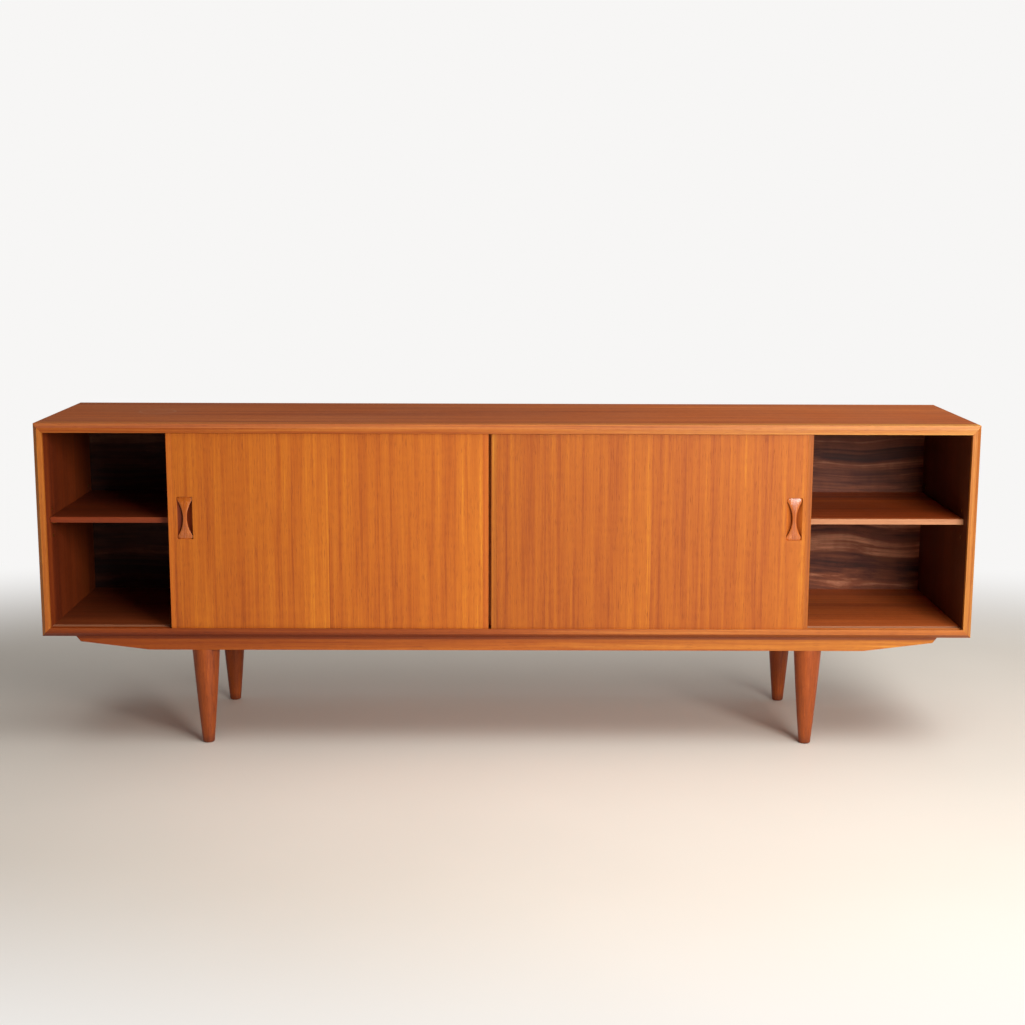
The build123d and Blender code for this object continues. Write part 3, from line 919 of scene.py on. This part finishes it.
leg_figure = {"band": 0.02, "gloss": 0.4, "change": worn_foot}
for number, name in enumerate(("front_left_leg", "front_right_leg", "rear_left_leg", "rear_right_leg")):
    piece = turned_leg(name)
    teak = wood(f"{name}_teak", "Z", leg_shades, 181 + number * 4, **leg_figure)
    piece.data.materials.append(teak)
    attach(piece, "case")
    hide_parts(name)
give("leg_bolts", zinc)
give("leg_inserts", brass)

# ---- the floor ----
# A plain pale floor with a faint sheen. Away from the sideboard it runs out into the white of the room, as a
# studio floor does.

floor_size = 60
floor_half_width = 2.6  # the oval that stays a floor
floor_half_depth = 1.5
fade_from = 0.7  # in half widths or half depths of that oval
fade_to = 1.5
room_white = shade(247, 246, 245)
bpy.ops.object.select_all(action="DESELECT")
bpy.ops.mesh.primitive_plane_add(size=floor_size, location=(0, 0, 0))
floor = bpy.context.object
floor.name = "floor"
floor_finish = bpy.data.materials.new("floor_finish")
floor_finish.use_nodes = True
tree = floor_finish.node_tree
shader = tree.nodes["Principled BSDF"]
place = add_node(tree, "ShaderNodeTexCoord").outputs["Object"]
cloud = add_node(tree, "ShaderNodeTexNoise", {"Vector": place, "Scale": 1.5, "Detail": 4.0}).outputs["Fac"]
tint = ramp(tree, cloud, [shade(222, 214, 203), shade(230, 222, 211)])
tree.links.new(tint, shader.inputs["Base Color"])
shader.inputs["Roughness"].default_value = 0.5
shader.inputs["Specular IOR Level"].default_value = 0.3
split = add_node(tree, "ShaderNodeSeparateXYZ", {"Vector": place})
sideways = maths(tree, "DIVIDE", split.outputs["X"], floor_half_width)
lengthways = maths(tree, "DIVIDE", split.outputs["Y"], floor_half_depth)
inputs = {"Value": distance(tree, sideways, lengthways), "From Min": fade_from, "From Max": fade_to}
fade = add_node(tree, "ShaderNodeMapRange", inputs, interpolation_type="SMOOTHSTEP")
seen = add_node(tree, "ShaderNodeLightPath").outputs["Is Camera Ray"]
white = add_node(tree, "ShaderNodeEmission", {"Color": room_white}).outputs["Emission"]
amount = maths(tree, "MULTIPLY", fade.outputs["Result"], seen)
mixed = add_node(tree, "ShaderNodeMixShader", {0: amount, 1: shader.outputs["BSDF"], 2: white})
tree.links.new(mixed.outputs["Shader"], tree.nodes["Material Output"].inputs["Surface"])
floor.data.materials.append(floor_finish)
floor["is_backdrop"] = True

# ---- the light ----
# A soft window in front and to the right, a pale ceiling lit mostly on that side, some daylight from above,
# and a dim room that is brighter behind the sideboard than in front of it.

window = bpy.data.lights.new("window", "AREA")
window.shape = "RECTANGLE"
window.size = 1.7
window.size_y = 1.5
window.energy = 64
window.spread = math.radians(120)
window.color = (1.0, 0.97, 0.93)
ceiling = bpy.data.lights.new("ceiling", "AREA")
ceiling.shape = "RECTANGLE"
ceiling.size = 2.6
ceiling.size_y = 2.2
ceiling.energy = 52
skylight = bpy.data.lights.new("skylight", "SUN")
skylight.energy = 1.08
skylight.angle = math.radians(70)
for light, place, target in (
    (window, (1.9, -3.5, 1.8), (0.1, 0, 0.5)),
    (ceiling, (1.8, -1.0, 2.9), (0.6, -0.1, 0.3)),
    (skylight, (0.4, -0.2, 3.0), (0, 0, 0)),
):
    holder = bpy.data.objects.new(light.name, light)
    bpy.context.scene.collection.objects.link(holder)
    holder.location = place
    holder.rotation_euler = (Vector(target) - Vector(place)).to_track_quat("-Z", "Y").to_euler()

world = bpy.data.worlds.new("pale_room")
bpy.context.scene.world = world
world.use_nodes = True
tree = world.node_tree
direction = add_node(tree, "ShaderNodeTexCoord").outputs["Generated"]
split = add_node(tree, "ShaderNodeSeparateXYZ", {"Vector": direction})
behind = spread(tree, split.outputs["Y"], -0.3, 0.6)
glow = ramp(tree, behind, [shade(24, 23, 22), shade(84, 83, 82)])
seen = add_node(tree, "ShaderNodeLightPath").outputs["Is Camera Ray"]
colour = blend(tree, seen, glow, room_white)
tree.links.new(colour, tree.nodes["Background"].inputs["Color"])
tree.nodes["Background"].inputs["Strength"].default_value = 1.0

# ---- the camera ----
# It stands a little left of the middle, about four metres in front of the doors, and looks slightly down
# and to the right.

turn = math.radians(0.28)
tilt = math.radians(10.06)
roll = math.radians(0.19)
stand = Matrix.Translation((-0.0072, -4.2068, 1.3018))
forward = Vector((math.sin(turn) * math.cos(tilt), math.cos(turn) * math.cos(tilt), -math.sin(tilt)))
level = forward.cross(Vector((0, 0, 1))).normalized()
upward = level.cross(forward)
right = level * math.cos(roll) + upward * math.sin(roll)
up = upward * math.cos(roll) - level * math.sin(roll)
view = bpy.data.cameras.new("camera")
view.lens = 58.06
view.sensor_width = 36
camera = bpy.data.objects.new("camera", view)
bpy.context.scene.collection.objects.link(camera)
camera.matrix_world = stand @ Matrix((right, up, -forward)).transposed().to_4x4()
bpy.context.scene.camera = camera
bpy.context.scene.view_settings.view_transform = "Standard"

# ---- the size of what is shown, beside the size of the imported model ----

boxes = {"cad": cad_box, "visual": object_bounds()}
